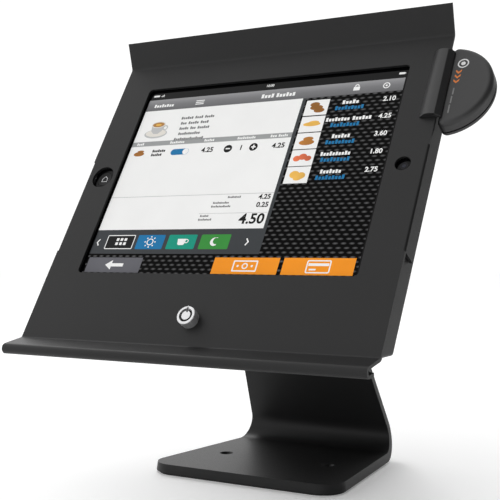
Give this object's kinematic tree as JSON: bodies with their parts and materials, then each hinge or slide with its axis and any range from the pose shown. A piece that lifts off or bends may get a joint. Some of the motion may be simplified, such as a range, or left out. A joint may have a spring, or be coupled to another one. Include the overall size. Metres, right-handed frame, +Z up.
{
  "type": "countertop self checkout kiosk",
  "caption": "Countertop checkout kiosk: a leaning lockable sheet-metal tablet enclosure with a document ledge and a plug-in card reader, on a bent steel stand.",
  "frame": {"origin": "on the counter, midway between the stand's two bolt holes, on the underside of the base pad", "axes": "+X to the right of someone facing the screen, +Y to the back, +Z up"},
  "size_m": [0.2788, 0.2027, 0.3033],
  "materials": {
    "black_powder_coat": "fine matt powder coat",
    "black_rubber": "matt",
    "zinc_steel": "bright zinc",
    "grey_foam": "closed-cell foam",
    "tablet_aluminium": "bead blasted",
    "black_plastic": "matt",
    "black_glass": "polished",
    "screen_panel": "gloss",
    "battery_wrap": "matt film",
    "board_green": "solder mask",
    "button_gloss_black": "gloss",
    "clip_plastic": "satin",
    "lock_chrome": "polished",
    "reader_plastic": "satin, fine texture",
    "plug_metal": "plated"
  },
  "bodies": {
    "stand": {"base_stand": "black_powder_coat", "base_pad": "black_rubber", "rear_tray": "black_powder_coat", "tray_screws": "zinc_steel", "tray_nuts": "zinc_steel", "tray_knuckles": "zinc_steel", "hinge_pins": "zinc_steel", "strike_bracket": "black_powder_coat", "tablet_pads": "grey_foam", "tablet_rests": "grey_foam", "tablet_rear_shell": "tablet_aluminium", "tablet_gasket": "black_plastic", "tablet_cover_glass": "black_glass", "tablet_display": "screen_panel", "tablet_battery": "battery_wrap", "tablet_logic_board": "board_green", "tablet_front_camera": "black_plastic", "tablet_dock_connector": "zinc_steel", "tablet_headphone_jack": "black_plastic", "tablet_speaker": "black_plastic", "home_button_switch": "zinc_steel"},
    "cover": {"front_cover": "black_powder_coat", "window_gasket": "grey_foam", "cover_knuckles": "zinc_steel", "reader_clip": "clip_plastic", "lock_housing": "lock_chrome", "lock_nut": "zinc_steel"},
    "lock": {"lock_core": "lock_chrome", "lock_pins": "lock_chrome", "lock_tbar": "zinc_steel", "tbar_screw": "zinc_steel"},
    "home_key": {"home_button": "button_gloss_black"},
    "power_key": {"power_button": "black_plastic"},
    "volume_key": {"volume_rocker": "black_plastic"},
    "mute_key": {"mute_switch": "black_plastic"},
    "reader": {"reader_front_shell": "reader_plastic", "reader_rear_shell": "reader_plastic", "reader_screws": "zinc_steel", "reader_plug": "plug_metal", "reader_board": "board_green", "reader_head": "zinc_steel", "reader_head_spring": "zinc_steel"}
  },
  "joints": [
    {"name": "cover_hinge", "type": "hinge", "parent": "stand", "child": "cover", "pos_m": [0, 0.00711, 0.28052], "axis": [-1, 0, 0], "range_deg": [0, 65]},
    {"name": "lock_turn", "type": "hinge", "parent": "cover", "child": "lock", "pos_m": [0, -0.10475, 0.10856], "axis": [0, -0.849, 0.5284], "range_deg": [0, 90]},
    {"name": "home_press", "type": "slide", "parent": "stand", "child": "home_key", "axis": [0, 0.849, -0.5284], "range_m": [0, 0.0004], "stiffness_N_per_m": 400, "springref_m": -0.0002},
    {"name": "power_press", "type": "slide", "parent": "stand", "child": "power_key", "axis": [-1, 0, 0], "range_m": [0, 0.0003], "stiffness_N_per_m": 400, "springref_m": -0.0002},
    {"name": "volume_rock", "type": "hinge", "parent": "stand", "child": "volume_key", "pos_m": [0.0706, -0.08929, 0.11978], "axis": [0, -0.849, 0.5284], "range_deg": [-1.5, 1.5], "stiffness_Nm_per_rad": 0.01},
    {"name": "mute_slide", "type": "slide", "parent": "stand", "child": "mute_key", "axis": [1, 0, 0], "range_m": [0, 0.002]},
    {"name": "reader_unplug", "type": "slide", "parent": "stand", "child": "reader", "axis": [1, 0, 0], "range_m": [0, 0.018]}
  ]
}
